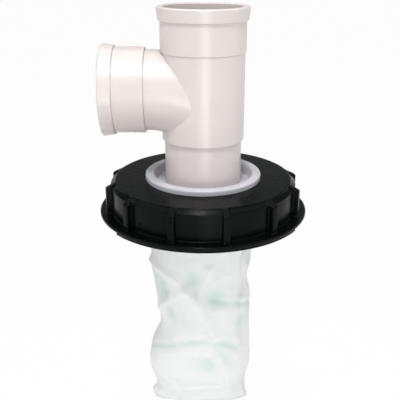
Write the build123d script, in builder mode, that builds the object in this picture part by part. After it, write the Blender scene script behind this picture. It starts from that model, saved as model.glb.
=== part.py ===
from build123d import *
from math import cos, pi, sin
import os

# A filter for the filling neck of a liquid tank. A black screw lid has a white dished collar set in
# its middle. The collar holds the plain end of a swept tee with two open sockets, and a fine mesh bag
# hangs from the collar below the lid, where it catches what the water brings.
# Sizes are in millimetres. Z is up, and z = 0 is the lowest edge of the lid, on its own axis.

# Pipe size that the tee is made for, and its sockets
pipe_radius = 37.5
pipe_wall = 2.3
slip_gap = 0.1
socket_depth = 40.0
socket_stop = 1.2
socket_wall = 3.0
band_length = 12.4
band_rise = 1.8
band_flare = 1.4
mouth_chamfer = 1.0
step_chamfer = 0.6

# Body of the tee, with its heights above the lowest edge of the lid
tee_top = 201.0
body_bottom = 76.4
body_wall = 3.1
body_bore_step = 0.9
spigot_length = 60.0
spigot_chamfer = 1.0
branch_height = 123.5
branch_reach = 96.0
neck_outer_radius = 38.2
neck_wall = 2.3
sweep_radius = 80.0
sweep_angle = 20.0
sweep_start = 50.8

# Lid
lid_height = 36.0
lid_plate = 3.5
thread_radius = 82.6
thread_wall = 3.4
skirt_reach = 10.0
skirt_wall = 2.8
crown_inset = 4.6
crown_step = 1.0
shoulder_drop = 3.4
shoulder_round = 0.8
hole_gap = 0.5
flange_reach = 11.4
flange_thickness = 3.2
flange_round = 1.0
lip_drop = 2.4
lip_width = 3.2
lip_angle = 110.0
lip_middle = 3.0

# Grip ribs round the lid, and the webs behind them
rib_count = 12
rib_phase = 12.5
rib_depth = 5.4
rib_width = 7.0
rib_drop = 5.0
rib_round = 1.0
rib_toe_round = 2.0
pocket_height = 25.0
web_width = 4.0

# Seal under the plate of the lid
seal_thickness = 3.0
seal_width = 15.0
seal_gap = 0.6
seal_fence_width = 2.0
seal_fence_height = 4.5

# Dished collar
collar_radius = 51.0
collar_wall = 2.5
collar_drop = 26.0
dish_rim_reach = 6.6
dish_rim_height = 5.4
dish_rim_round = 1.9
dish_mouth_inset = 1.6
dish_floor_inset = 5.0
dish_depth = 8.4
dish_floor = 2.5
dish_round = 1.2
sleeve_wall = 2.4
sleeve_ledge = 2.2
sleeve_ledge_height = 2.4

# Bag, and the hoop that grips it on the collar
bag_wall = 1.0
bag_gap = 0.3
bag_cuff_height = 14.0
bag_top_drop = 8.5
bag_length = 239.0
hem_height = 3.6
hem_rise = 1.4
hoop_wall = 2.2
hoop_height = 8.0
hoop_chamfer = 0.6

# The bag hangs a little to one side, and is drawn in at a waist. Each row is one level of it: how far
# down the bag it is, as a share of its length below the cuff, then how far it reaches to the left, to
# the right, and to the front and back, as shares of the cuff's radius.
bag_levels = [
    (0.00, 1.00, 1.00, 1.00),
    (0.05, 1.00, 1.00, 1.00),
    (0.24, 1.05, 0.93, 0.94),
    (0.54, 0.89, 0.97, 0.87),
    (0.71, 1.07, 0.97, 0.78),
    (0.86, 1.10, 1.00, 0.62),
    (0.96, 1.05, 0.94, 0.42),
    (1.00, 0.97, 0.92, 0.28),
]
bag_fold_shares = (0.24, 0.54, 0.71, 0.86, 0.96)
bag_folds = 4
bag_fold_depth = 0.03
bag_points_per_fold = 4

# Places that follow from the sizes above
bore_radius = pipe_radius + slip_gap
socket_radius = bore_radius + socket_wall
socket_length = socket_depth + socket_stop
body_bore = bore_radius - body_bore_step
body_radius = body_bore + body_wall
spigot_bottom = body_bottom - spigot_length
neck_bore = neck_outer_radius - neck_wall
plate_under = lid_height - lid_plate
crown_foot = lid_height - crown_step
shoulder_foot = crown_foot - shoulder_drop
flange_top = lip_drop + flange_thickness
seal_inner_radius = thread_radius - seal_gap - seal_width
skirt_radius = thread_radius + skirt_reach
crown_radius = skirt_radius - crown_inset
flange_radius = skirt_radius + flange_reach
pocket_outer = skirt_radius - skirt_wall
pocket_inner = thread_radius + thread_wall
hole_radius = collar_radius + hole_gap
dish_rim_radius = collar_radius + dish_rim_reach
dish_mouth_radius = collar_radius - dish_mouth_inset
dish_floor_radius = collar_radius - dish_floor_inset
rim_top = lid_height + dish_rim_height
floor_top = rim_top - dish_depth
floor_under = floor_top - dish_floor
collar_bottom = lid_height - collar_drop
collar_inner = collar_radius - collar_wall
sleeve_radius = bore_radius + sleeve_wall
ledge_bottom = spigot_bottom - sleeve_ledge_height
bag_radius = collar_radius + bag_gap
bag_top = plate_under - bag_top_drop
cuff_bottom = bag_top - bag_cuff_height
hoop_top = bag_top - hem_height - bag_gap
hoop_inner = bag_radius + bag_wall + bag_gap


def across(mouth):
    """The plane that holds a mouth's axis, with x across the mouth and y out of it."""
    return Plane(origin=mouth.origin, x_dir=mouth.x_dir, z_dir=-mouth.y_dir)


def socket_outline(mouth):
    """Half the section of a socket: a sleeve with a step at its foot and a flared band at its lip."""
    with BuildSketch(across(mouth)) as outline:
        with BuildLine():
            Polyline(
                (0, 0),
                (socket_radius + band_rise + band_flare - mouth_chamfer, 0),
                (socket_radius + band_rise + band_flare, -mouth_chamfer),
                (socket_radius + band_rise, step_chamfer - band_length),
                (socket_radius + band_rise - step_chamfer, -band_length),
                (socket_radius, -band_length),
                (socket_radius, step_chamfer - socket_length),
                (socket_radius - step_chamfer, -socket_length),
                (0, -socket_length),
                close=True,
            )
        make_face()
    return outline.sketch


def bore_outline(mouth):
    """Half the section of a socket's bore, with a lead-in for the pipe at the mouth."""
    with BuildSketch(across(mouth)) as outline:
        with BuildLine():
            Polyline(
                (0, 0),
                (bore_radius + mouth_chamfer, 0),
                (bore_radius, -mouth_chamfer),
                (bore_radius, -socket_depth),
                (0, -socket_depth),
                close=True,
            )
        make_face()
    return outline.sketch


def bag_section(level, reach_left, reach_right, reach_front, phase, inset):
    """One level of the bag: an oval with soft folds, whose phase turns the folds round the bag."""
    outer = bag_radius + bag_wall
    middle = outer * (reach_right - reach_left) / 2
    half_width = outer * (reach_right + reach_left) / 2 - inset
    half_depth = outer * reach_front - inset
    count = bag_folds * bag_points_per_fold
    points = []
    for index in range(count):
        angle = 2 * pi * index / count
        fold = 1 + bag_fold_depth * phase * cos(bag_folds * angle)
        points.append((middle + half_width * fold * cos(angle), half_depth * fold * sin(angle)))
    with BuildSketch(Plane.XY.offset(level)) as section:
        with BuildLine():
            Spline(*points, periodic=True)
        make_face()
    return section.sketch


def bag_form(inset):
    """The bag with its cuff as a solid, drawn in by the inset all round and at its floor."""
    with BuildPart() as form:
        add(bag_section(bag_top, 1, 1, 1, 0, inset))
        add(bag_section((bag_top + cuff_bottom) / 2, 1, 1, 1, 0, inset))
        for index, (share, left, right, front) in enumerate(bag_levels):
            level = cuff_bottom - bag_length * share + (inset if share == 1 else 0)
            phase = (-1) ** index if share in bag_fold_shares else 0
            add(bag_section(level, left, right, front, phase, inset))
        loft()
    return form.part


os.makedirs("parts", exist_ok=True)

# Grip rib: its side view, with a sloping top that starts at the crown of the lid
with BuildPart() as grip_rib:
    with BuildSketch(Plane.XZ) as rib_section:
        with BuildLine():
            Polyline(
                (pocket_outer + skirt_wall / 2, lip_drop),
                (skirt_radius + rib_depth, lip_drop),
                (skirt_radius + rib_depth, lid_height - rib_drop),
                (crown_radius, lid_height),
                (crown_radius - crown_step, shoulder_foot),
                (pocket_outer + skirt_wall / 2, shoulder_foot),
                close=True,
            )
        make_face()
        fillet(rib_section.vertices().group_by(Axis.X)[-1].sort_by(Axis.Y)[-1], radius=rib_toe_round)
    extrude(amount=rib_width / 2, both=True)
    rib_face = grip_rib.faces().sort_by(Axis.X)[-1]
    fillet(rib_face.edges().filter_by(Axis.Z), radius=rib_round)

# Pocket between two webs behind the grip ribs
with BuildPart() as rim_pocket:
    with BuildSketch(Plane.XZ):
        with Locations(((pocket_inner + pocket_outer) / 2, (pocket_height + lip_drop) / 2)):
            Rectangle(pocket_outer - pocket_inner, pocket_height + lip_drop)
    web_angle = web_width / pocket_outer * 180 / pi
    revolve(axis=Axis.Z, revolution_arc=360 / rib_count - web_angle)

# Lip that hangs from the flange over the front part of the lid
with BuildPart() as flange_lip:
    with BuildSketch(Plane.XZ):
        with Locations((flange_radius - flange_round - lip_width / 2, lip_drop / 2)):
            Rectangle(lip_width, lip_drop)
    revolve(axis=Axis.Z, revolution_arc=lip_angle)

# Lid: one moulding, turned from its section, then ribbed outside and cored inside
with BuildPart() as lid:
    with BuildSketch(Plane.XZ) as lid_section:
        with BuildLine():
            Polyline(
                (hole_radius, plate_under),
                (hole_radius, lid_height),
                (crown_radius, lid_height),
                (crown_radius, crown_foot),
                (skirt_radius, shoulder_foot),
                (skirt_radius, flange_top),
                (flange_radius, flange_top),
                (flange_radius, lip_drop),
                (thread_radius, lip_drop),
                (thread_radius, plate_under),
                (seal_inner_radius - seal_gap, plate_under),
                (seal_inner_radius - seal_gap, plate_under - seal_fence_height),
                (seal_inner_radius - seal_gap - seal_fence_width, plate_under - seal_fence_height),
                (seal_inner_radius - seal_gap - seal_fence_width, plate_under),
                close=True,
            )
        make_face()
        shoulder_corners = lid_section.vertices().filter_by(
            lambda corner: corner.X > skirt_radius - 0.01 and corner.Y > flange_top + 0.01
        )
        fillet(shoulder_corners, radius=shoulder_round)
        flange_corners = lid_section.vertices().filter_by(
            lambda corner: corner.X > flange_radius - 0.01
        )
        fillet(flange_corners, radius=flange_round)
    revolve(axis=Axis.Z)
    with PolarLocations(0, rib_count, start_angle=rib_phase - 90):
        add(grip_rib.part)
    with PolarLocations(0, rib_count, start_angle=rib_phase - 90 + web_angle / 2):
        add(rim_pocket.part, mode=Mode.SUBTRACT)
    with Locations(Rotation(0, 0, lip_middle - 90 - lip_angle / 2)):
        add(flange_lip.part)
lid.part.label = "lid"
export_step(lid.part, "parts/lid.step")

# Seal: a flat ring that lies against the plate, between its fence and the thread
with BuildPart() as lid_seal:
    with BuildSketch(Plane.XY.offset(plate_under - seal_thickness)):
        Circle(thread_radius - seal_gap)
        Circle(seal_inner_radius, mode=Mode.SUBTRACT)
    extrude(amount=seal_thickness)
lid_seal.part.label = "lid_seal"
export_step(lid_seal.part, "parts/lid_seal.step")

# Collar: a rolled rim on the lid, a dish with a floor, a sleeve for the tee and a skirt for the bag
with BuildPart() as filter_collar:
    with BuildSketch(Plane.XZ) as collar_section:
        with BuildLine():
            Polyline(
                (bore_radius, floor_top),
                (dish_floor_radius, floor_top),
                (dish_mouth_radius, rim_top),
                (dish_rim_radius, rim_top),
                (dish_rim_radius, lid_height),
                (collar_radius, lid_height),
                (collar_radius, collar_bottom),
                (collar_inner, collar_bottom),
                (collar_inner, floor_under),
                (sleeve_radius, floor_under),
                (sleeve_radius, ledge_bottom),
                (bore_radius - sleeve_ledge, ledge_bottom),
                (bore_radius - sleeve_ledge, spigot_bottom),
                (bore_radius, spigot_bottom),
                close=True,
            )
        make_face()
        rim_corners = collar_section.vertices().filter_by(lambda corner: corner.Y > rim_top - 0.01)
        fillet(rim_corners, radius=dish_rim_round)
        dish_corner = collar_section.vertices().sort_by_distance((dish_floor_radius, floor_top))[0]
        fillet(dish_corner, radius=dish_round)
    revolve(axis=Axis.Z)
filter_collar.part.label = "filter_collar"
export_step(filter_collar.part, "parts/filter_collar.step")

# Tee: two sockets, a plain lower end, and a side branch whose neck sweeps down into the body
top_mouth = Plane(origin=(0, 0, tee_top), x_dir=(1, 0, 0), z_dir=(0, 0, 1))
side_mouth = Plane(origin=(-branch_reach, 0, branch_height), x_dir=(0, 0, 1), z_dir=(-1, 0, 0))

# Path of the neck: straight from the socket, then bent down, then straight to the axis of the body
with BuildLine(Plane.XZ) as neck_path:
    neck_lead = Line((socket_depth - branch_reach, branch_height), (-sweep_start, branch_height))
    neck_bend = JernArc(
        start=neck_lead @ 1,
        tangent=neck_lead % 1,
        radius=sweep_radius,
        arc_size=-sweep_angle,
    )
    bend_end = neck_bend @ 1
    drop_to_axis = -bend_end.X * sin(sweep_angle * pi / 180) / cos(sweep_angle * pi / 180)
    Line(bend_end, (0, bend_end.Z - drop_to_axis))

with BuildPart() as tee:
    with BuildSketch(Plane.XZ) as body_section:
        with BuildLine():
            Polyline(
                (0, spigot_bottom),
                (pipe_radius - spigot_chamfer, spigot_bottom),
                (pipe_radius, spigot_bottom + spigot_chamfer),
                (pipe_radius, body_bottom),
                (body_radius - step_chamfer, body_bottom),
                (body_radius, body_bottom + step_chamfer),
                (body_radius, tee_top - socket_length),
                (0, tee_top - socket_length),
                close=True,
            )
        make_face()
    revolve(axis=Axis.Z)
    for mouth in (top_mouth, side_mouth):
        revolve(socket_outline(mouth), axis=Axis(mouth.origin, mouth.z_dir))
    with BuildSketch(Plane(origin=neck_path.line @ 0, x_dir=(0, 1, 0), z_dir=neck_path.line % 0)):
        Circle(neck_outer_radius)
    sweep(path=neck_path.line)

    # The bores, from the three ends to the chamber where they meet
    with BuildSketch(Plane.XZ):
        with BuildLine():
            Polyline(
                (0, spigot_bottom),
                (pipe_radius - pipe_wall, spigot_bottom),
                (pipe_radius - pipe_wall, body_bottom),
                (body_bore, body_bottom + body_wall),
                (body_bore, tee_top - socket_depth),
                (0, tee_top - socket_depth),
                close=True,
            )
        make_face()
    revolve(axis=Axis.Z, mode=Mode.SUBTRACT)
    for mouth in (top_mouth, side_mouth):
        revolve(bore_outline(mouth), axis=Axis(mouth.origin, mouth.z_dir), mode=Mode.SUBTRACT)
    with BuildSketch(Plane(origin=neck_path.line @ 0, x_dir=(0, 1, 0), z_dir=neck_path.line % 0)):
        Circle(neck_bore)
    sweep(path=neck_path.line, mode=Mode.SUBTRACT)
tee.part.label = "tee"
export_step(tee.part, "parts/tee.step")

# Bag: one wall all round and a floor, open at the cuff, with a folded hem above the hoop
with BuildPart() as filter_bag:
    add(bag_form(0))
    add(bag_form(bag_wall), mode=Mode.SUBTRACT)
    with BuildSketch(Plane.XY.offset(bag_top - hem_height)):
        Circle(bag_radius + bag_wall + hem_rise)
        Circle(bag_radius + bag_wall / 2, mode=Mode.SUBTRACT)
    extrude(amount=hem_height)
filter_bag.part.label = "filter_bag"
export_step(filter_bag.part, "parts/filter_bag.step")

# Hoop: a band that grips the bag's cuff on the skirt of the collar, just under the hem
with BuildPart() as bag_hoop:
    with BuildSketch(Plane.XZ) as hoop_section:
        with Locations((hoop_inner + hoop_wall / 2, hoop_top - hoop_height / 2)):
            Rectangle(hoop_wall, hoop_height)
        chamfer(hoop_section.vertices(), length=hoop_chamfer)
    revolve(axis=Axis.Z)
bag_hoop.part.label = "bag_hoop"
export_step(bag_hoop.part, "parts/bag_hoop.step")
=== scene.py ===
# %% Load the frame
import math
import random
import bpy
import bmesh
from mathutils import Matrix, Vector, noise


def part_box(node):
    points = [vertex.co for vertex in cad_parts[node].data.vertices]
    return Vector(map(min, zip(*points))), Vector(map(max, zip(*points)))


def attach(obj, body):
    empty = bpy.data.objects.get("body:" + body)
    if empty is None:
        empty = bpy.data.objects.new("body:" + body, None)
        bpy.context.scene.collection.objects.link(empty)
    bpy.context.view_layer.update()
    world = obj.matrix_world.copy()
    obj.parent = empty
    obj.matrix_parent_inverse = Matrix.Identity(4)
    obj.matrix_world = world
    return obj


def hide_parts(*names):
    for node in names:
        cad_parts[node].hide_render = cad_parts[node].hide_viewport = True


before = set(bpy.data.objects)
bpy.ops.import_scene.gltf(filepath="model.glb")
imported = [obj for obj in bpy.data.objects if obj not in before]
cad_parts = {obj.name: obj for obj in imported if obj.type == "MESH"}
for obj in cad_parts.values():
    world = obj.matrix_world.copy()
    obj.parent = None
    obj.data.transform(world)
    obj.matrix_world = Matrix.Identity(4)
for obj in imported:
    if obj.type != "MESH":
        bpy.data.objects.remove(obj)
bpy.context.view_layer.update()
print("nodes in the frame:", sorted(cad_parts))

# %% [markdown]
# # Dressing a tank lid filter
# The object is a black screw lid for a liquid tank. A white dished collar sits in its middle, a white
# pipe tee stands in the collar, and a fine mesh bag hangs below. The hard pieces come from the frame
# at their true size, so this script gives them their finishes. It models what a solid can't say: the
# limp bag with its seams, the lid's thread and the small marks that moulding leaves.
#
# Everything is in metres, with Z up and the lid's lowest edge at zero.

# %% [markdown]
# ## Places and sizes
# The pieces made here must meet the solids, so their places are read from the boxes of the nodes. A
# box gives a height or an outer radius directly. Only the few sizes that no box can tell are written
# as values: the bore that the thread sits in, how far the flange reaches past the skirt, and how far
# the bag's cuff lies inside the hoop.

# %% Sizes
MM = 0.001
THREAD_ROOT = 82.6 * MM
THREAD_PITCH = 7.0 * MM
FLANGE_REACH = 11.4 * MM
HOOP_WALL = 3.1 * MM
CUFF_TUCK = 1.0 * MM

lid_low, lid_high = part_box("lid")
bag_low, bag_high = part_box("filter_bag")
hoop_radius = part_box("bag_hoop")[1][0]
CUFF_RADIUS = hoop_radius - HOOP_WALL
BAG_TOP = bag_high[2] - CUFF_TUCK
BAG_BOTTOM = bag_low[2]
BAG_HEIGHT = BAG_TOP - BAG_BOTTOM
print("bag from", round(BAG_BOTTOM, 4), "to", round(BAG_TOP, 4), "cuff radius", round(CUFF_RADIUS, 4))

# %% [markdown]
# ## Camera
# The photograph looks at the lid from the front and from about 21 degrees above, near enough for the
# pipe's rim to look larger than the bag. A camera that far away with a medium lens gives the same
# widening, so the picture can be compared with the photograph piece by piece.

# %% Camera
CAMERA_DISTANCE = 0.655
CAMERA_ELEVATION = math.radians(21.5)
SENSOR_WIDTH_MM = 36.0
LENS_MM = 57.6
AIM = Vector((-0.003, 0.0, 0.010))

camera_data = bpy.data.cameras.new("camera")
camera_data.sensor_width = SENSOR_WIDTH_MM
camera_data.lens = LENS_MM
camera_data.clip_end = 60.0
camera = bpy.data.objects.new("camera", camera_data)
bpy.context.scene.collection.objects.link(camera)
toward_camera = Vector((0, -math.cos(CAMERA_ELEVATION), math.sin(CAMERA_ELEVATION)))
camera.location = AIM + toward_camera * CAMERA_DISTANCE
camera.rotation_euler = (-toward_camera).to_track_quat("-Z", "Y").to_euler()
bpy.context.scene.camera = camera
bpy.context.scene.view_settings.view_transform = "Standard"
print("camera at", tuple(round(value, 3) for value in camera.location))

# %% [markdown]
# ## Helpers for materials
# A finish starts from a colour as it looks on a screen, so one function turns a hex code into the
# linear numbers that the shaders use. A second one adds a node, sets it and wires it, which keeps each
# finish short enough to read as a recipe. The others are the steps that most finishes share: a cloudy
# noise of a real size, a colour that follows it, a bump of a real height, painted shade that darkens
# the colour in corners, and the small radius that a mould leaves on every edge.

# %% Material helpers
def to_linear(hex_code):
    """A screen colour such as #DAD8E0 as linear red, green, blue and alpha."""
    channels = [int(hex_code[start:start + 2], 16) / 255 for start in (1, 3, 5)]
    linear = [c / 12.92 if c <= 0.04045 else ((c + 0.055) / 1.055) ** 2.4 for c in channels]
    return (*linear, 1.0)


def add_node(material, kind, settings=None, **links):
    """Adds a node. Settings are attributes or input values, and links name the sockets that feed it."""
    node = material.node_tree.nodes.new(kind)
    for name, value in (settings or {}).items():
        if name in node.inputs:
            node.inputs[name].default_value = value
        else:
            setattr(node, name, value)
    for name, socket in links.items():
        wanted = name.replace("_", " ").lower()
        free = [entry for entry in node.inputs if entry.name.lower() == wanted and not entry.is_linked]
        material.node_tree.links.new(socket, free[0])
    return node


def math_node(material, operation, *values):
    """One sum. Each of its values is either the socket that feeds it or a plain number."""
    node = add_node(material, "ShaderNodeMath", {"operation": operation})
    for entry, value in zip(node.inputs, values):
        if isinstance(value, bpy.types.NodeSocket):
            material.node_tree.links.new(value, entry)
        else:
            entry.default_value = value
    return node.outputs[0]


def start_finish(name, roughness, specular=0.5):
    """A new material with its one Principled shader and the object's own coordinates."""
    material = bpy.data.materials.new(name)
    material.use_nodes = True
    shader = material.node_tree.nodes["Principled BSDF"]
    shader.inputs["Roughness"].default_value = roughness
    shader.inputs["Specular IOR Level"].default_value = specular
    shader.inputs["IOR"].default_value = 1.5
    place = add_node(material, "ShaderNodeTexCoord")
    return material, shader, place.outputs["Object"]


def speckle(material, place, size_mm, detail=3.0, rough=0.55):
    """A cloudy noise whose blotches measure about size_mm, as a value from 0 to 1."""
    noise_node = add_node(material, "ShaderNodeTexNoise", {
        "Scale": 1.0 / (size_mm * MM), "Detail": detail, "Roughness": rough,
    }, vector=place)
    return noise_node.outputs["Fac"]


def spread(material, value, low, high):
    """Maps the middle of a noise value to the range from low to high."""
    mapped = add_node(material, "ShaderNodeMapRange", {
        "From Min": 0.3, "From Max": 0.7, "To Min": low, "To Max": high,
    }, value=value)
    return mapped.outputs["Result"]


def tint(material, value, first, second):
    """A colour that moves from the first hex code to the second as the value goes from 0 to 1."""
    ramp = add_node(material, "ShaderNodeValToRGB", fac=value)
    ramp.color_ramp.elements[0].color = to_linear(first)
    ramp.color_ramp.elements[1].color = to_linear(second)
    ramp.color_ramp.elements[0].position = 0.3
    ramp.color_ramp.elements[1].position = 0.7
    return ramp.outputs["Color"]


def add_bump(material, shader, height, depth_mm, strength=1.0, after=None):
    """Raises the surface by a height value, whose full range stands depth_mm high."""
    links = {"height": height}
    if after is not None:
        links["normal"] = after
    bump = add_node(material, "ShaderNodeBump", {
        "Distance": depth_mm * MM, "Strength": strength,
    }, **links)
    material.node_tree.links.new(bump.outputs["Normal"], shader.inputs["Normal"])
    return bump.outputs["Normal"]


def painted_corner_shade(material, clean, reach_mm, hex_code):
    """Paints shade into the colour: mixes a dark colour over the clean one in the closed-in corners that
    ambient occlusion finds.
    """
    # Painted shade: ambient occlusion finds the corners, and the mix darkens the base colour there.
    corner = add_node(material, "ShaderNodeAmbientOcclusion", {"samples": 8, "Distance": reach_mm * MM})
    corner_shade_amount = add_node(material, "ShaderNodeMapRange", {
        "From Min": 0.75, "From Max": 0.35, "To Min": 0.0, "To Max": 1.0,
    }, value=corner.outputs["AO"])
    mixed = add_node(
        material, "ShaderNodeMixRGB", {"Color2": to_linear(hex_code)}, fac=corner_shade_amount.outputs["Result"],
    )
    material.node_tree.links.new(clean, mixed.inputs["Color1"])
    return mixed.outputs["Color"]


def moulded_edges(material, radius_mm):
    """Shades every sharp edge as if it were rounded, as edges that come out of a mould are."""
    bevel = add_node(material, "ShaderNodeBevel", {"samples": 6, "Radius": radius_mm * MM})
    return bevel.outputs["Normal"]


def feed(material, socket, shader, name):
    """Wires a socket into one of the shader's inputs."""
    material.node_tree.links.new(socket, shader.inputs[name])


# %% [markdown]
# ## Floor and light
# A product photograph like this one is cut out on white. The floor is a wide sheet of pale paper far
# below the bag. Where it is seen straight, in a gloss or through the gauze, most of its light is its
# own, so it shows almost white, and the small rest is lit by the lamps and keeps the bag's shadow.

# %% Floor
FLOOR_LEVEL = -0.42
FLOOR_HALF_WIDTH = 25.0
OWN_LIGHT_SHARE = 0.94

floor_mesh = bmesh.new()
bmesh.ops.create_grid(floor_mesh, x_segments=2, y_segments=2, size=FLOOR_HALF_WIDTH)
bmesh.ops.translate(floor_mesh, verts=floor_mesh.verts, vec=(0, 0, FLOOR_LEVEL))
floor_data = bpy.data.meshes.new("floor")
floor_mesh.to_mesh(floor_data)
floor_mesh.free()
floor = bpy.data.objects.new("floor", floor_data)
bpy.context.scene.collection.objects.link(floor)

paper, paper_shader, paper_place = start_finish("pale paper", 0.9, 0.2)
feed(paper, tint(paper, speckle(paper, paper_place, 40), "#F4F4F4", "#F7F7F7"), paper_shader, "Base Color")
paper_light = add_node(paper, "ShaderNodeEmission", {"Strength": 1.0, "Color": (1, 1, 1, 1)})
ray = add_node(paper, "ShaderNodeLightPath")
seen = math_node(paper, "MAXIMUM", ray.outputs["Is Camera Ray"], ray.outputs["Is Glossy Ray"])
seen = math_node(paper, "MAXIMUM", seen, ray.outputs["Is Transmission Ray"])
paper_mix = add_node(paper, "ShaderNodeMixShader")
paper.node_tree.links.new(math_node(paper, "MULTIPLY", seen, OWN_LIGHT_SHARE), paper_mix.inputs[0])
paper.node_tree.links.new(paper_shader.outputs[0], paper_mix.inputs[1])
paper.node_tree.links.new(paper_light.outputs[0], paper_mix.inputs[2])
paper_output = paper.node_tree.nodes["Material Output"]
paper.node_tree.links.new(paper_mix.outputs[0], paper_output.inputs["Surface"])
floor_data.materials.append(paper)

# %% [markdown]
# ## Room and lamps
# The room is a ramp from below the horizon to straight overhead. It is white at and below the
# horizon, like the paper, and dim above it, so the black lid's sides have something dark to reflect
# and don't turn grey. Overhead it is bright again, as a pale ceiling is. Five lamps do the rest. Two
# small ones high up draw the narrow streaks on the pipe and the lid's rim, two wide ones fill the
# sides, and a wide one low in front lights the bag, which hangs in the lid's shadow.

# %% Room and lamps
ROOM_LIGHT = [
    (0.10, (1, 1, 1, 1)),
    (0.28, (0.12, 0.125, 0.125, 1)),
    (0.56, (0.15, 0.15, 0.15, 1)),
    (0.80, (1.1, 1.1, 1.1, 1)),
]

world = bpy.data.worlds.new("pale room")
bpy.context.scene.world = world
world.use_nodes = True
sky = world.node_tree
direction = sky.nodes.new("ShaderNodeTexCoord")
height = sky.nodes.new("ShaderNodeSeparateXYZ")
sky.links.new(direction.outputs["Generated"], height.inputs[0])
walls = sky.nodes.new("ShaderNodeValToRGB")
steps = walls.color_ramp.elements
for index, (step_height, brightness) in enumerate(ROOM_LIGHT):
    step = steps[index] if index < len(steps) else steps.new(step_height)
    step.position = step_height
    step.color = brightness
sky.links.new(height.outputs["Z"], walls.inputs[0])
sky.links.new(walls.outputs[0], sky.nodes["Background"].inputs["Color"])


def add_lamp(name, azimuth, elevation, distance, width, power):
    """An area lamp that faces the lid. Azimuth 0 is the front, and positive is to the right."""
    lamp_data = bpy.data.lights.new(name, "AREA")
    lamp_data.shape = "SQUARE"
    lamp_data.size = width
    lamp_data.energy = power
    lamp = bpy.data.objects.new(name, lamp_data)
    bpy.context.scene.collection.objects.link(lamp)
    turn, tilt = math.radians(azimuth), math.radians(elevation)
    away = Vector((math.sin(turn) * math.cos(tilt), -math.cos(turn) * math.cos(tilt), math.sin(tilt)))
    lamp.location = away * distance
    lamp.rotation_euler = (-away).to_track_quat("-Z", "Y").to_euler()


add_lamp("main lamp", azimuth=-8, elevation=63, distance=1.3, width=0.16, power=6.5)
add_lamp("top lamp", azimuth=-10, elevation=84, distance=1.3, width=0.10, power=3)
add_lamp("side lamp", azimuth=-75, elevation=30, distance=1.5, width=0.7, power=2.0)
add_lamp("right lamp", azimuth=80, elevation=12, distance=1.5, width=0.6, power=2.2)
add_lamp("front lamp", azimuth=6, elevation=-8, distance=1.6, width=0.55, power=7.2)
print("lamps and floor are set")

# %% [markdown]
# ## Helpers for shapes
# Every new piece starts as a bmesh, is shaped by Blender's own mesh operators and ends as an object
# at the origin that rides on the frame. These two helpers do the ending.

# %% Shape helpers
def finish_piece(name, mesh, material, smooth=True):
    """Turns a bmesh into a piece of the object, with its finish, and lets it ride on the frame."""
    data = bpy.data.meshes.new(name)
    mesh.to_mesh(data)
    mesh.free()
    data.materials.append(material)
    for face in data.polygons:
        face.use_smooth = smooth
    piece = bpy.data.objects.new(name, data)
    bpy.context.scene.collection.objects.link(piece)
    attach(piece, "root")
    print(name, "has", len(data.polygons), "faces")
    return piece


def dress(node, material):
    """Gives a solid of the frame its finish."""
    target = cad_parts[node]
    if not target.data.materials:
        target.data.materials.append(material)
    for slot in target.material_slots:
        slot.material = material


# %% [markdown]
# ## Black moulded polyethylene
# The lid is moulded in polyethylene coloured right through with carbon black. The mould's fine
# texture makes it satin: it has no mirror image, only broad soft streaks along the edges that face
# the lamp. Handling leaves faint duller patches, so the roughness wanders a little, and a fine bump
# breaks up the streaks. Every edge is shaded with the 2 mm radius that the mould leaves. A black this
# deep needs a low specular level, or a pale room greys it.

# %% Lid finish
lid_finish, shader, place = start_finish("black polyethylene", 0.25, 0.08)
patches = speckle(lid_finish, place, 35, 4.0)
feed(lid_finish, tint(lid_finish, patches, "#040606", "#080B0A"), shader, "Base Color")
feed(lid_finish, spread(lid_finish, patches, 0.23, 0.31), shader, "Roughness")
rounded = moulded_edges(lid_finish, 2.2)
skin = add_bump(lid_finish, shader, speckle(lid_finish, place, 0.5, 2.0), 0.015, after=rounded)
add_bump(lid_finish, shader, speckle(lid_finish, place, 14, 2.0), 0.12, after=skin)
dress("lid", lid_finish)

# %% [markdown]
# ## White pipe plastic
# Pipe fittings are moulded in hard white plastic with a little warmth in it. The surface is smoother
# than the lid's, so a lamp draws a clear streak along each cylinder. The parting line of the mould
# runs round the plane that holds both axes, a hair of raised plastic that only shows from the sides.
# Painted shade darkens the colour in the steps beside the rings, where it draws fine grey lines.

# %% Tee finish
PARTING_HALF_WIDTH = 0.35 * MM

tee_finish, shader, place = start_finish("white pipe plastic", 0.3, 0.5)
clouds = speckle(tee_finish, place, 60, 3.0)
clean = tint(tee_finish, clouds, "#D3CAC7", "#D8D0CD")
# Painted shade: the base colour turns grey in the corners beside the rings.
feed(tee_finish, painted_corner_shade(tee_finish, clean, 1.6, "#8C8A7C"), shader, "Base Color")
feed(tee_finish, spread(tee_finish, speckle(tee_finish, place, 30, 2.0), 0.28, 0.34), shader, "Roughness")
rounded = moulded_edges(tee_finish, 0.5)
peel = add_bump(tee_finish, shader, speckle(tee_finish, place, 2.4, 2.0), 0.012, after=rounded)
axis_parts = add_node(tee_finish, "ShaderNodeSeparateXYZ", vector=place)
parting = add_node(tee_finish, "ShaderNodeMapRange", {
    "interpolation_type": "SMOOTHSTEP", "From Min": PARTING_HALF_WIDTH, "From Max": 0.0,
    "To Min": 0.0, "To Max": 1.0,
}, value=math_node(tee_finish, "ABSOLUTE", axis_parts.outputs["Y"]))
add_bump(tee_finish, shader, parting.outputs["Result"], 0.15, after=peel)
dress("tee", tee_finish)

# %% [markdown]
# ## Cool white collar
# The collar is moulded in natural nylon, which is whiter and cooler than the pipe and passes a little
# light. A touch of subsurface scatter softens its edges, and the rolled rim stays satin.

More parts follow.
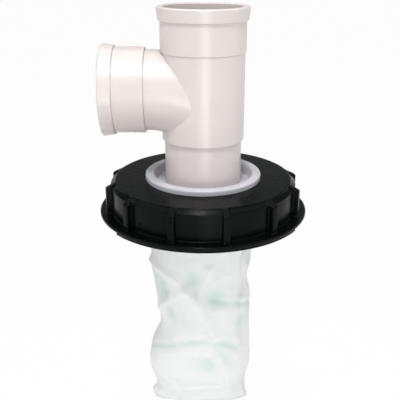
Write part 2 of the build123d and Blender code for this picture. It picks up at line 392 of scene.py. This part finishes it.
# %% Collar finish
collar_finish, shader, place = start_finish("natural nylon", 0.38, 0.5)
clouds = speckle(collar_finish, place, 25, 3.0)
feed(collar_finish, tint(collar_finish, clouds, "#C2C0C8", "#C9C7CF"), shader, "Base Color")
feed(collar_finish, spread(collar_finish, clouds, 0.34, 0.44), shader, "Roughness")
shader.inputs["Subsurface Weight"].default_value = 0.15
shader.inputs["Subsurface Scale"].default_value = 0.002
rounded = moulded_edges(collar_finish, 0.6)
add_bump(collar_finish, shader, speckle(collar_finish, place, 1.2, 2.0), 0.02, after=rounded)
dress("filter_collar", collar_finish)

# %% [markdown]
# ## Seal and hoop
# The seal is plain black rubber, dull and faintly dusty. The hoop is white plastic like the collar,
# but opaque. Both hide under the lid and only show from below.

# %% Seal and hoop finishes
seal_finish, shader, place = start_finish("black rubber", 0.75, 0.4)
dust = speckle(seal_finish, place, 8, 4.0)
feed(seal_finish, tint(seal_finish, dust, "#1E1E1E", "#2A2A29"), shader, "Base Color")
feed(seal_finish, spread(seal_finish, dust, 0.68, 0.85), shader, "Roughness")
add_bump(seal_finish, shader, speckle(seal_finish, place, 0.6, 2.0), 0.04)
dress("lid_seal", seal_finish)

hoop_finish, shader, place = start_finish("white plastic band", 0.42, 0.5)
clouds = speckle(hoop_finish, place, 12, 3.0)
feed(hoop_finish, tint(hoop_finish, clouds, "#DDDDDF", "#E4E4E6"), shader, "Base Color")
feed(hoop_finish, spread(hoop_finish, clouds, 0.36, 0.5), shader, "Roughness")
add_bump(hoop_finish, shader, speckle(hoop_finish, place, 0.9, 2.0), 0.02)
dress("bag_hoop", hoop_finish)

# %% [markdown]
# ## The mesh bag: its outline
# The bag is sewn from one piece of fine nylon mesh with a small panel for its foot. It hangs from the
# hoop, leans a little to the left, is drawn in at a waist and narrows to a flat foot. The rows below
# are that outline: the height, then how far the bag reaches to the left, to the right and to the
# front, in millimetres. A smooth curve through the rows gives every height between them.

# %% Bag outline
BAG_COLUMNS = 132
BAG_ROWS = 104
FOOT_RINGS = (0.86, 0.68, 0.48, 0.28, 0.12)

cuff = CUFF_RADIUS / MM
outline_rows = [
    (BAG_TOP / MM + 20, cuff, cuff, cuff),
    (BAG_TOP / MM, cuff, cuff, cuff),
    (-4, cuff, cuff, cuff),
    (-54, 54.6, 49.5, 48.0),
    (-72, 52.8, 45.5, 46.6),
    (-94, 49.6, 49.6, 45.5),
    (-128, 45.0, 48.8, 43.5),
    (-153, 54.8, 51.0, 41.5),
    (-173, 58.2, 52.4, 38.5),
    (-200, 55.8, 50.8, 30.5),
    (-216, 55.6, 50.2, 23.5),
    (-223, 58.0, 50.6, 19.5),
    (BAG_BOTTOM / MM, 53.0, 49.6, 13.5),
    (BAG_BOTTOM / MM - 10, 46.0, 44.0, 9.0),
]


def through(before, start, end, after, share):
    """A point on the smooth curve that passes from start to end, bent by the rows on either side."""
    return 0.5 * (
        2 * start + (end - before) * share
        + (2 * before - 5 * start + 4 * end - after) * share ** 2
        + (3 * start - before - 3 * end + after) * share ** 3
    )


def bag_reach(height_mm):
    """How far the bag reaches to the left, the right and the front at a height, in millimetres."""
    index = 1
    while index < len(outline_rows) - 3 and outline_rows[index + 1][0] > height_mm:
        index += 1
    rows = outline_rows[index - 1:index + 3]
    share = (rows[1][0] - height_mm) / (rows[1][0] - rows[2][0])
    share = min(max(share, 0.0), 1.0)
    return [through(*(row[side] for row in rows), share) for side in (1, 2, 3)]


print("reach at the waist", [round(value, 1) for value in bag_reach(-128)])

# %% [markdown]
# ## The mesh bag: its creases
# The bag was folded flat in its packet, so it keeps a few sharp creases, and between them lie shallow
# dents. The ones in front are placed as they lie on the real bag: two ridges run in from the left and
# meet near the middle, one runs down from the lid, and a fold sags across the bag at two thirds of its
# height. Each is a line of places, an angle in degrees from the front and a height in millimetres,
# with how far it stands out and how wide it spreads. The back, which no picture shows, gets creases
# of the same kind at random places from a fixed seed.

# %% Bag creases
front_creases = [
    (4.2, 10, [(-74, -50), (-48, -49), (-26, -56), (-14, -67), (-3, -84)]),
    (3.4, 9, [(-72, -104), (-37, -82), (-16, -68)]),
    (3.0, 8, [(8, -44), (3, -62), (-2, -75)]),
    (2.6, 9, [(-2, -75), (1, -95), (8, -114), (15, -126)]),
    (2.6, 8, [(44, -28), (58, -54), (70, -78)]),
    (-2.2, 8, [(18, -80), (44, -88), (84, -103)]),
    (-2.8, 8, [(-78, -154), (-38, -139), (-17, -130), (6, -128), (27, -133), (47, -145)]),
    (2.2, 9, [(-40, -126), (-8, -118), (24, -121)]),
    (3.2, 9, [(-6, -146), (13, -149), (22, -160), (33, -184), (36, -200)]),
    (2.0, 8, [(-60, -176), (-34, -190), (-20, -214)]),
]
front_dents = [
    (-4.4, 17, -52, -76), (-3.2, 12, -5, -58), (-3.2, 13, 17, -77), (-3.0, 11, -46, -102),
    (-3.2, 20, 22, -162), (-3.0, 12, 74, -48), (-2.0, 16, 52, -112), (-1.6, 14, -18, -108),
]
MM_PER_DEGREE = 0.87

chance = random.Random(11)
back_creases = []
for number in range(11):
    angle = 105 + number * 13 + chance.uniform(-6, 6)
    top = -20 - 180 * chance.random()
    turn = chance.uniform(-34, 34)
    fall = chance.uniform(18, 48)
    size = chance.choice((-2.6, 2.4, 3.0, 3.4))
    back_creases.append((size, 9, [(angle, top), (angle + turn / 2, top - fall * 0.4),
                                   (angle + turn, top - fall)]))


def crease_at(angle, height_mm):
    """How far the creases and dents move the cloth outward at a place, in millimetres."""
    total = 0.0
    for size, width, line in front_creases + back_creases:
        nearest = width
        for start, end in zip(line, line[1:]):
            for shift in (0, 360) if line[0][0] > 90 else (0,):
                here = Vector(((angle + shift) * MM_PER_DEGREE, height_mm))
                first = Vector((start[0] * MM_PER_DEGREE, start[1]))
                second = Vector((end[0] * MM_PER_DEGREE, end[1]))
                run = second - first
                share = min(max((here - first).dot(run) / run.length_squared, 0.0), 1.0)
                nearest = min(nearest, (here - first - run * share).length)
        total += size * (1 - nearest / width) ** 1.5
    for size, width, dent_angle, dent_height in front_dents:
        reach = Vector(((angle - dent_angle) * MM_PER_DEGREE, height_mm - dent_height)).length / width
        total += size * math.exp(-reach * reach)
    return total


print(len(front_creases) + len(back_creases), "creases and", len(front_dents), "dents")

# %% [markdown]
# ## The mesh bag: the cloth
# A ring of edges that is extruded down row by row makes the tube, and rings drawn inward make the
# foot. Each corner is then put on the outline, moved by the creases there. The map that goes with it
# counts real metres round and down the bag, so the weave keeps its size wherever the cloth bends.

# %% Bag cloth
SEAM_ANGLE = 118.0
CREASE_START = -6.0
CREASE_FADE_TOP = 30
CREASE_FADE_FOOT = 16
SEAM_TOP_ROW = 14
COLUMN_STEP = 360 / BAG_COLUMNS


def bag_place(angle, height_mm, scale=1.0, creased=1.0):
    """The place of a point of the bag. The angle is in degrees from the front, positive to the right."""
    left, right, front = bag_reach(height_mm)
    turn = math.radians(angle)
    half_width = (left + right) / 2
    outward = crease_at((angle + 180) % 360 - 180, height_mm) if creased else 0.0
    flat = Vector((half_width * math.sin(turn), -front * math.cos(turn)))
    way = Vector((math.sin(turn) / half_width, -math.cos(turn) / front)).normalized()
    flat = flat * scale + way * outward * creased
    return Vector(((flat.x + (right - left) / 2) * MM, flat.y * MM, height_mm * MM))


def angle_on_bag(spot):
    """The angle of a spot on the bag, in degrees from the front, counted as bag_place counts it."""
    left, right, front = bag_reach(spot.z / MM)
    across = (spot.x / MM - (right - left) / 2) / ((left + right) / 2)
    return math.degrees(math.atan2(across, -spot.y / MM / front))


def place_in_ring(corner):
    """A number that puts a round ring's corners in order, from the seam and on to the right."""
    turn = math.degrees(math.atan2(corner.co.x, -corner.co.y)) - SEAM_ANGLE
    return (turn % 360 + COLUMN_STEP / 2) % 360


row_heights = [BAG_TOP / MM - BAG_HEIGHT / MM * row / BAG_ROWS for row in range(BAG_ROWS + 1)]

bag_mesh = bmesh.new()
start_turn = Matrix.Rotation(math.radians(SEAM_ANGLE - 90), 4, "Z")
bmesh.ops.create_circle(bag_mesh, segments=BAG_COLUMNS, radius=CUFF_RADIUS, matrix=start_turn)
rings = [sorted(bag_mesh.verts, key=place_in_ring)]
ring_edges = list(bag_mesh.edges)
for row in range(BAG_ROWS + len(FOOT_RINGS)):
    grown = bmesh.ops.extrude_edge_only(bag_mesh, edges=ring_edges)["geom"]
    ring = [part for part in grown if isinstance(part, bmesh.types.BMVert)]
    ring_edges = [part for part in grown if isinstance(part, bmesh.types.BMEdge) and part.is_boundary]
    rings.append(sorted(ring, key=place_in_ring))

for row, ring in enumerate(rings):
    height_mm = row_heights[min(row, BAG_ROWS)]
    scale = 1.0 if row <= BAG_ROWS else FOOT_RINGS[row - BAG_ROWS - 1]
    creased = min(max((CREASE_START - height_mm) / CREASE_FADE_TOP, 0.0), 1.0)
    creased *= min(max((height_mm - BAG_BOTTOM / MM) / CREASE_FADE_FOOT, 0.0), 1.0)
    for column, corner in enumerate(ring):
        corner.co = bag_place(SEAM_ANGLE + column * COLUMN_STEP, height_mm, scale, creased)

place_of = {
    corner: (column, row) for row, ring in enumerate(rings) for column, corner in enumerate(ring)
}
weave_map = bag_mesh.loops.layers.uv.new("weave")
row_step = BAG_HEIGHT / BAG_ROWS
column_width = math.tau * CUFF_RADIUS / BAG_COLUMNS
for face in bag_mesh.faces:
    columns = [place_of[loop.vert][0] for loop in face.loops]
    wraps = max(columns) - min(columns) > 1
    for loop in face.loops:
        column, row = place_of[loop.vert]
        if row > BAG_ROWS:
            loop[weave_map].uv = (loop.vert.co.x, loop.vert.co.y)
        else:
            around = BAG_COLUMNS if wraps and column == 0 else column
            loop[weave_map].uv = (around * column_width, -row * row_step)
bag_mesh.verts.index_update()
foot_ring = [corner.index for corner in rings[BAG_ROWS]]
foot_stitch_ring = [corner.index for corner in rings[BAG_ROWS - 1]]
seam_columns = [[ring[column].index for ring in rings[SEAM_TOP_ROW:BAG_ROWS - 1]]
                for column in (1, -1)]
foot_middle = sum((corner.co for corner in rings[-1]), Vector()) / len(rings[-1])
bmesh.ops.pointmerge(bag_mesh, verts=rings[-1], merge_co=foot_middle)
bmesh.ops.recalc_face_normals(bag_mesh, faces=bag_mesh.faces)
print("the bag's cloth has", len(bag_mesh.faces), "faces")

# %% [markdown]
# ## The mesh bag: gravity and slack
# A bag that is longer than the space it hangs in buckles into soft diamonds between its creases. The
# Cloth simulation gives that for nothing: the cloth's own size is set a few percent larger than the
# modelled form, its cuff is held by the hoop and its foot by the weight in it, and two dozen steps
# let it find its folds. The result is copied back as plain mesh, and no point may end up further than
# a few millimetres from where it was modelled, so the outline stays the real bag's.

# %% Bag simulation
CLOTH_FRAMES = 24
CLOTH_SLACK = 0.045
FARTHEST_MOVE = 6.0 * MM
CUFF_HELD_ABOVE = -3
FOOT_HELD_BELOW = BAG_BOTTOM / MM + 0.5


def settle(piece):
    """Runs the Cloth simulation on a piece that is held at its cuff and foot, and keeps its result."""
    scene = bpy.context.scene
    modelled = [corner.co.copy() for corner in piece.data.vertices]
    group = piece.vertex_groups.new(name="held")
    for corner in piece.data.vertices:
        height_mm = corner.co.z / MM
        if height_mm > CUFF_HELD_ABOVE or height_mm < FOOT_HELD_BELOW:
            group.add([corner.index], 1.0, "REPLACE")
    cloth = piece.modifiers.new("cloth", "CLOTH")
    cloth.settings.vertex_group_mass = "held"
    cloth.settings.quality = 6
    cloth.settings.mass = 0.02
    cloth.settings.tension_stiffness = 12
    cloth.settings.compression_stiffness = 12
    cloth.settings.shear_stiffness = 4
    cloth.settings.bending_stiffness = 0.25
    cloth.settings.air_damping = 1.5
    cloth.settings.shrink_min = -CLOTH_SLACK
    cloth.settings.effector_weights.gravity = 0.04
    cloth.collision_settings.use_collision = False
    cloth.point_cache.frame_start = 1
    cloth.point_cache.frame_end = CLOTH_FRAMES
    for frame_number in range(1, CLOTH_FRAMES + 1):
        scene.frame_set(frame_number)
    graph = bpy.context.evaluated_depsgraph_get()
    settled = bpy.data.meshes.new_from_object(piece.evaluated_get(graph))
    piece.modifiers.clear()
    piece.vertex_groups.clear()
    piece.data = settled
    scene.frame_set(1)
    moves = []
    for corner, start in zip(piece.data.vertices, modelled):
        move = corner.co - start
        moves.append(move.length)
        if move.length > 0:
            eased = FARTHEST_MOVE * math.tanh(move.length / FARTHEST_MOVE)
            corner.co = start + move * (eased / move.length)
    print("the cloth moved by up to", round(max(moves) / MM, 1), "mm")

# %% [markdown]
# ## The mesh bag: fine nylon gauze
# The gauze is woven from single clear filaments, two or three to the millimetre, so it looks white
# and nearly closed from a step away, and up close the light comes through its holes. The weave is
# two sets of rounded threads at right angles, counted along the bag's own map. Its holes are cut by
# the alpha, its threads give the bump, and the colour is a cool white with painted shade: it turns
# to a faint, darker mint in the hollows, standing in for light passed through two or more layers. Each
# point of the cloth carries the height of the creases there, and the painted shade follows that.

# %% Bag finish
THREAD_SPACING_MM = 0.55


def thread_wave(material, value, spacing_mm):
    """Rounded threads across a length: 1 on a thread's back and 0 in the gap beside it."""
    counted = math_node(material, "MULTIPLY", value, 1 / (spacing_mm * MM))
    folded = math_node(material, "PINGPONG", counted, 0.5)
    return math_node(material, "MULTIPLY", folded, 2.0)


def gauze(name, openness, spacing_mm, white, hollow_shade):
    """A woven cloth of clear filaments. The openness is the alpha of its holes, and the hollow colour is
    painted shade.
    """
    material, shader, place = start_finish(name, 0.5, 0.4)
    weave = add_node(material, "ShaderNodeUVMap", {"uv_map": "weave"})
    lengths = add_node(material, "ShaderNodeSeparateXYZ", vector=weave.outputs["UV"])
    warp = thread_wave(material, lengths.outputs["X"], spacing_mm)
    weft = thread_wave(material, lengths.outputs["Y"], spacing_mm)
    cloth = math_node(material, "MAXIMUM", warp, weft)
    holes = add_node(material, "ShaderNodeMapRange", {
        "interpolation_type": "SMOOTHSTEP", "From Min": 0.56, "From Max": 0.72,
        "To Min": openness, "To Max": 1.0,
    }, value=cloth)
    feed(material, holes.outputs["Result"], shader, "Alpha")
    # Painted shade: the crease height stored at each point turns the colour from white to the darker mint
    # of the hollows.
    fold_shade = add_node(material, "ShaderNodeAttribute", {"attribute_name": "fold_shade"})
    clouds = speckle(material, place, 22, 3.0)
    tone_and_fold_shade = math_node(material, "MULTIPLY_ADD", clouds, 0.5, fold_shade.outputs["Fac"])
    feed(material, tint(material, tone_and_fold_shade, hollow_shade, white), shader, "Base Color")
    feed(material, spread(material, speckle(material, place, 9, 3.0), 0.42, 0.6), shader, "Roughness")
    shader.inputs["Sheen Weight"].default_value = 0.25
    shader.inputs["Sheen Roughness"].default_value = 0.4
    crumple = add_bump(material, shader, speckle(material, place, 7, 3.0), 0.25)
    add_bump(material, shader, cloth, 0.12, after=crumple)
    return material


# The second colour is painted shade for the bag's hollows.
bag_finish = gauze("fine nylon gauze", 0.25, THREAD_SPACING_MM, "#FAFCFB", "#CBE8DF")

# %% Bag piece
# The fold shade is painted shade: dents below the level tone take the darker hollow colour.
LEVEL_TONE = 0.5
LIFT_FOR_FULL_TONE = 9

bag = finish_piece("mesh_bag", bag_mesh, bag_finish)
lifts = [crease_at(angle_on_bag(corner.co), corner.co.z / MM) for corner in bag.data.vertices]
settle(bag)
fold_values = bag.data.attributes.new("fold_shade", "FLOAT", "POINT")
for index, lift in enumerate(lifts):
    fold_values.data[index].value = min(max(LEVEL_TONE + lift / LIFT_FOR_FULL_TONE, 0.0), 1.0)
rounding = bag.modifiers.new("rounding", "SUBSURF")
rounding.levels = 1
rounding.render_levels = 1
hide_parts("filter_bag")

# %% [markdown]
# ## The mesh bag: hem, seams and stitches
# A hem is the cloth turned over a cord and sewn down, and here it is what the hoop holds up. The one
# side seam is a narrow strip of doubled cloth. The foot is sewn on with its edges turned out, which
# leaves a small soft flange all round. The seam and the flange follow the cloth as it has settled, so
# they are made from its own faces or edges, and the hem is a ring of oval section round the cuff. The
# foot's edge was cut by hand, so the flange waves a little.

# %% Side seam
SEAM_HALF_DEGREES = 3.1
SEAM_RISE = 0.30 * MM
SEAM_THICKNESS = 0.5 * MM
SEAM_LOW_END = BAG_BOTTOM + 3 * MM
SEAM_HIGH_END = -4 * MM


def in_side_seam(face):
    """Whether a face of the bag lies in the strip of doubled cloth along its side."""
    middle = face.calc_center_median()
    off_seam = abs((angle_on_bag(middle) - SEAM_ANGLE + 180) % 360 - 180)
    return off_seam < SEAM_HALF_DEGREES and SEAM_LOW_END < middle.z < SEAM_HIGH_END


# The second colour is painted shade for the hollows of the doubled cloth.
seam_finish = gauze("doubled gauze", 0.85, THREAD_SPACING_MM, "#EDF1EF", "#D5E2DD")
seam_mesh = bmesh.new()
seam_mesh.from_mesh(bag.data)
seam_mesh.normal_update()
unwanted = [face for face in seam_mesh.faces if not in_side_seam(face)]
bmesh.ops.delete(seam_mesh, geom=unwanted, context="FACES")
for corner in seam_mesh.verts:
    corner.co += corner.normal * SEAM_RISE
bmesh.ops.solidify(seam_mesh, geom=seam_mesh.faces, thickness=-SEAM_THICKNESS)
side_seam = finish_piece("side_seam", seam_mesh, seam_finish)

# %% Foot flange
FLANGE_STEPS_MM = ((0.5, 0.2), (0.7, 0.9), (0.3, 1.2))
FLANGE_WAVE_MM = 0.5
FLANGE_SAG_WAVE_MM = 0.6
CLOTH_THICKNESS = 0.6 * MM

flange_mesh = bmesh.new()
flange_mesh.from_mesh(bag.data)
flange_mesh.verts.ensure_lookup_table()
rim = {flange_mesh.verts[index] for index in foot_ring}
above_rim = [corner for corner in flange_mesh.verts if corner not in rim]
bmesh.ops.delete(flange_mesh, geom=above_rim, context="VERTS")
rim_middle = sum((corner.co for corner in flange_mesh.verts), Vector()) / len(flange_mesh.verts)
outer_edges = list(flange_mesh.edges)
for outward_mm, down_mm in FLANGE_STEPS_MM:
    grown = bmesh.ops.extrude_edge_only(flange_mesh, edges=outer_edges)["geom"]
    outer_edges = [part for part in grown if isinstance(part, bmesh.types.BMEdge) and part.is_boundary]
    for corner in [part for part in grown if isinstance(part, bmesh.types.BMVert)]:
        way = (corner.co - rim_middle).normalized()
        wave = noise.noise(corner.co * 60) + 0.5 * noise.noise(corner.co * 160)
        corner.co += way * (outward_mm + FLANGE_WAVE_MM * wave) * MM
        corner.co.z -= (down_mm + FLANGE_SAG_WAVE_MM * wave) * MM
bmesh.ops.solidify(flange_mesh, geom=flange_mesh.faces, thickness=CLOTH_THICKNESS)
bmesh.ops.recalc_face_normals(flange_mesh, faces=flange_mesh.faces)
foot_flange = finish_piece("foot_flange", flange_mesh, seam_finish)

# %% Hem
HEM_HALF_WIDTH = 1.15 * MM
HEM_HALF_HEIGHT = 1.65 * MM
HEM_OFF_CUFF = 0.75 * MM
HEM_BELOW_TOP = 0.7 * MM

hem_mesh = bmesh.new()
hem_place = Matrix.Translation((CUFF_RADIUS + HEM_OFF_CUFF, 0, BAG_TOP - HEM_BELOW_TOP))
hem_upright = Matrix.Rotation(math.radians(90), 4, "X")
hem_section = hem_place @ hem_upright @ Matrix.Diagonal((HEM_HALF_WIDTH, HEM_HALF_HEIGHT, 1, 1))
bmesh.ops.create_circle(hem_mesh, segments=14, radius=1, matrix=hem_section)
bmesh.ops.spin(hem_mesh, geom=[*hem_mesh.verts, *hem_mesh.edges], cent=(0, 0, 0), axis=(0, 0, 1),
               angle=math.tau, steps=112, use_merge=True)
bmesh.ops.recalc_face_normals(hem_mesh, faces=hem_mesh.faces)
hem = finish_piece("bag_hem", hem_mesh, seam_finish)

# %% [markdown]
# ## The mesh bag: stitches
# Both seams are sewn with a white thread, of which only the short bars on the outside show. One small
# capsule is repeated from one point of the cloth to the next, down both edges of the side seam and
# round the foot. Each is kept to a few faces, because there are hundreds.

# %% Stitches
SIDE_STITCH_MM = 1.7
FOOT_STITCH_MM = 1.2
STITCH_HALF_WIDTH = 0.26 * MM
STITCH_HALF_HEIGHT = 0.20 * MM
STITCH_RISE = 0.72 * MM

stitch_finish, shader, place = start_finish("white sewing thread", 0.6, 0.3)
strands = speckle(stitch_finish, place, 0.4, 2.0)
feed(stitch_finish, tint(stitch_finish, strands, "#DFE4E1", "#EFF2F0"), shader, "Base Color")
feed(stitch_finish, spread(stitch_finish, strands, 0.5, 0.7), shader, "Roughness")
add_bump(stitch_finish, shader, strands, 0.05)


def add_stitch(mesh, first, second, long_mm):
    """One stitch: a small capsule halfway between two points of the cloth, raised a little off it."""
    along = (second.co - first.co).normalized()
    across = first.normal.cross(along).normalized()
    turn = Matrix((along, across, along.cross(across))).transposed().to_4x4()
    middle = Matrix.Translation((first.co + second.co) / 2 + first.normal * STITCH_RISE)
    size = Matrix.Diagonal((long_mm / 2 * MM, STITCH_HALF_WIDTH, STITCH_HALF_HEIGHT, 1))
    bmesh.ops.create_icosphere(mesh, subdivisions=1, radius=1, matrix=middle @ turn @ size)


stitch_mesh = bmesh.new()
points = bag.data.vertices
for column in seam_columns:
    for upper, lower in zip(column, column[1:]):
        add_stitch(stitch_mesh, points[upper], points[lower], SIDE_STITCH_MM)
for first, second in zip(foot_stitch_ring, foot_stitch_ring[1:] + foot_stitch_ring[:1]):
    add_stitch(stitch_mesh, points[first], points[second], FOOT_STITCH_MM)
stitches = finish_piece("seam_stitches", stitch_mesh, stitch_finish)

# %% [markdown]
# ## The lid's thread
# The lid screws on a tank's neck with a coarse thread of 7 mm pitch. A thread is one small outline
# that turns round the axis and climbs as it turns, which is exactly what the spin operator does when
# it is given a rise for each step. The outline starts a little inside the wall so the two join, and
# its crest sinks into the wall at both ends, as a moulded thread runs out.

# %% Thread
THREAD_TURNS = 2.5
THREAD_STEPS_PER_TURN = 72
THREAD_FADE_STEPS = 9
THREAD_SUNK = 0.4 * MM
thread_start = lid_low[2] + 5.5 * MM

thread_mesh = bmesh.new()
outline = [
    (THREAD_ROOT + 0.8 * MM, -2.6 * MM),
    (THREAD_ROOT - 2.8 * MM, -0.9 * MM),
    (THREAD_ROOT - 3.0 * MM, -0.5 * MM),
    (THREAD_ROOT - 3.0 * MM, 0.5 * MM),
    (THREAD_ROOT - 2.8 * MM, 0.8 * MM),
    (THREAD_ROOT + 0.8 * MM, 1.7 * MM),
]
corners = [thread_mesh.verts.new((radius, 0, thread_start + rise)) for radius, rise in outline]
first_face = thread_mesh.faces.new(corners)
steps = int(THREAD_TURNS * THREAD_STEPS_PER_TURN)
bmesh.ops.spin(
    thread_mesh, geom=[first_face, *first_face.edges, *corners], cent=(0, 0, 0), axis=(0, 0, 1),
    dvec=(0, 0, THREAD_PITCH / THREAD_STEPS_PER_TURN), angle=math.tau * THREAD_TURNS, steps=steps,
    use_duplicate=False,
)
sunk_radius = THREAD_ROOT + THREAD_SUNK
for index, corner in enumerate(thread_mesh.verts):
    step = index // len(outline)
    to_end = min(step, steps - step)
    flat_radius = math.hypot(corner.co.x, corner.co.y)
    if to_end < THREAD_FADE_STEPS and flat_radius < THREAD_ROOT:
        wanted = sunk_radius + (flat_radius - sunk_radius) * to_end / THREAD_FADE_STEPS
        corner.co.x *= wanted / flat_radius
        corner.co.y *= wanted / flat_radius
bmesh.ops.recalc_face_normals(thread_mesh, faces=thread_mesh.faces)
finish_piece("lid_thread", thread_mesh, lid_finish, smooth=False)

# %% [markdown]
# ## Where the lid's plastic went in
# One panel of the lid's skirt, to the left of the front, carries a small pip. It is what is left of
# the gate where the plastic entered the mould: a low dome about 3 mm across that the trimming left. A
# small sphere that is flattened against the skirt and half sunk in it is the whole of it.

# %% Moulding pip
PIP_ANGLE = math.radians(-38.6)
PIP_HEIGHT = 15 * MM
PIP_RADIUS = 1.4 * MM
PIP_STANDS_OUT = 0.8 * MM

pip_mesh = bmesh.new()
pip_out = Vector((math.sin(PIP_ANGLE), -math.cos(PIP_ANGLE), 0))
pip_turn = pip_out.to_track_quat("Z", "Y").to_matrix().to_4x4()
skirt_radius = lid_high[0] - FLANGE_REACH
pip_place = Matrix.Translation(pip_out * skirt_radius + Vector((0, 0, PIP_HEIGHT)))
bmesh.ops.create_uvsphere(
    pip_mesh, u_segments=20, v_segments=12, radius=1,
    matrix=pip_place @ pip_turn @ Matrix.Diagonal((PIP_RADIUS, PIP_RADIUS, PIP_STANDS_OUT, 1)),
)
finish_piece("moulding_pip", pip_mesh, lid_finish)
